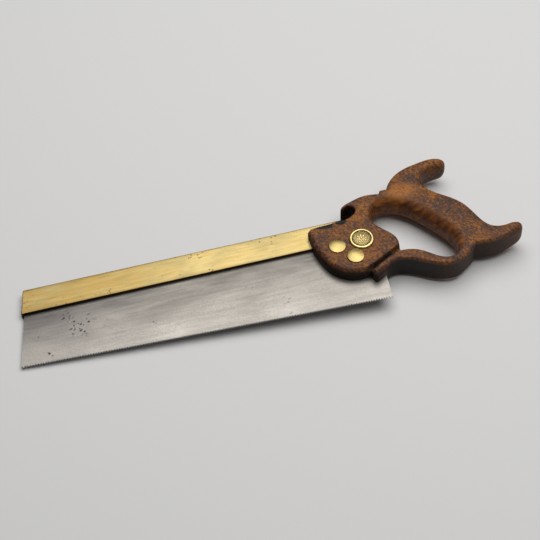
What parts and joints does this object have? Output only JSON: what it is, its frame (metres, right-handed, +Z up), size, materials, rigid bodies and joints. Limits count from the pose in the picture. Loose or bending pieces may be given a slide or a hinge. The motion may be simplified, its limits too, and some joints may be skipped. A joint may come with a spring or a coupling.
{
  "type": "back saw",
  "caption": "Tenon saw with a folded brass back, a toothed steel blade and a closed wooden handle held by brass bolts, lying on its side.",
  "frame": {"origin": "under the middle of the saw's bounding box, on the bench it lies on", "axes": "+X from the toe to the handle, +Y from the teeth to the brass back, +Z up out of the saw's left side"},
  "size_m": [0.4262, 0.1248, 0.0305],
  "materials": {
    "blade_steel": "satin, aged, lengthwise streaks",
    "folded_brass": "brushed, lightly tarnished",
    "handle_wood": "dark old varnish, worn at the grip",
    "bolt_brass": "polished by handling",
    "medallion_brass": "polished ring, dark textured field",
    "nut_brass": "dull, slotted"
  },
  "bodies": {
    "root": {"saw_plate": "blade_steel", "brass_back": "folded_brass", "handle": "handle_wood", "front_bolt": "bolt_brass", "lower_bolt": "bolt_brass", "medallion_bolt": "medallion_brass", "front_split_nut": "nut_brass", "lower_split_nut": "nut_brass", "medallion_split_nut": "nut_brass"}
  },
  "joints": []
}
